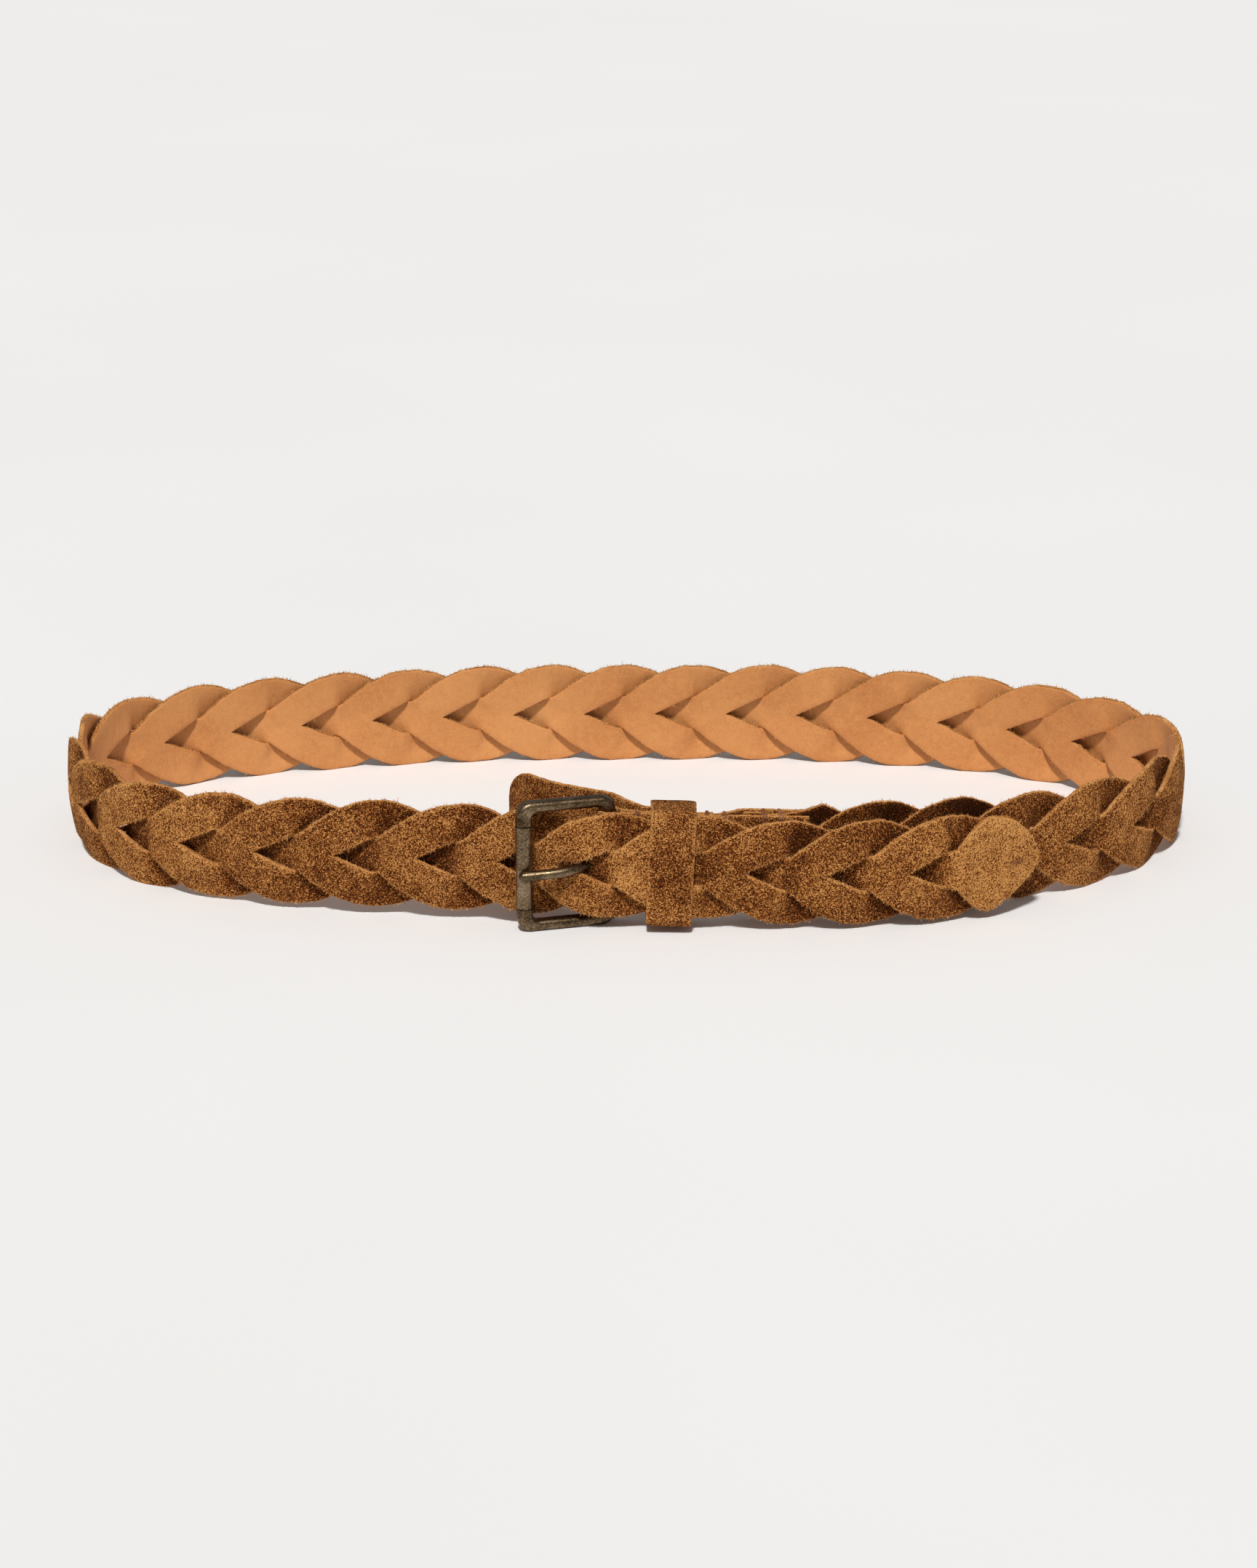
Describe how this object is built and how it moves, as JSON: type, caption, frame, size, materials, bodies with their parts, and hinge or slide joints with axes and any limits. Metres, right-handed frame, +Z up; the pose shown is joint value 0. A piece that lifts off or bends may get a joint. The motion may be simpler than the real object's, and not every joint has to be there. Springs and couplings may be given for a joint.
{
  "type": "braided belt",
  "caption": "Braided suede belt buckled into a loop and standing on edge, with a roller buckle, a guard flap, a keeper and a leaf-shaped tip.",
  "frame": {"origin": "middle of the loop's footprint, on the ground that its lower edge rests on", "axes": "+X along the loop's long way, to the wearer's left; -Y the front, where the buckle is; +Z up, across the strap's width"},
  "size_m": [0.4064, 0.1832, 0.0468],
  "materials": {
    "suede": "napped golden-brown suede outside, smooth tan grain inside",
    "antique_brass": "dark antique brass with worn edges",
    "thread": "waxed light-brown sewing thread"
  },
  "bodies": {
    "belt": {"first_strap": "suede", "second_strap": "suede", "chape": "suede", "guard_flap": "suede", "fold_stitches": "thread", "middle_stitches": "thread", "end_stitches": "thread"},
    "buckle": {"buckle_frame": "antique_brass"},
    "roller": {"buckle_roller": "antique_brass"},
    "prong": {"buckle_prong": "antique_brass"},
    "keeper_loop": {"keeper": "suede", "keeper_thread": "thread"},
    "free_end": {"first_strap_free_end": "suede", "second_strap_free_end": "suede", "tip_tack": "thread"}
  },
  "joints": [
    {"name": "buckle_swing", "type": "hinge", "parent": "belt", "child": "buckle", "pos_m": [-0.006, -0.07782, 0.0234], "axis": [0, 0, 1], "range_deg": [0, 8]},
    {"name": "prong_lift", "type": "hinge", "parent": "buckle", "child": "prong", "pos_m": [-0.006, -0.07782, 0.0234], "axis": [0, 0, 1], "range_deg": [0, 7]},
    {"name": "roller_spin", "type": "hinge", "parent": "buckle", "child": "roller", "pos_m": [-0.0344, -0.08502, 0.0234], "axis": [0, 0, 1], "continuous": true},
    {"name": "keeper_slide", "type": "slide", "parent": "belt", "child": "keeper_loop", "axis": [1, 0, 0], "range_m": [-0.002, 0.001]},
    {"name": "free_end_bend", "type": "hinge", "parent": "belt", "child": "free_end", "pos_m": [0.02588, -0.08509, 0.0234], "axis": [0, 0, -1], "range_deg": [0, 35]}
  ]
}
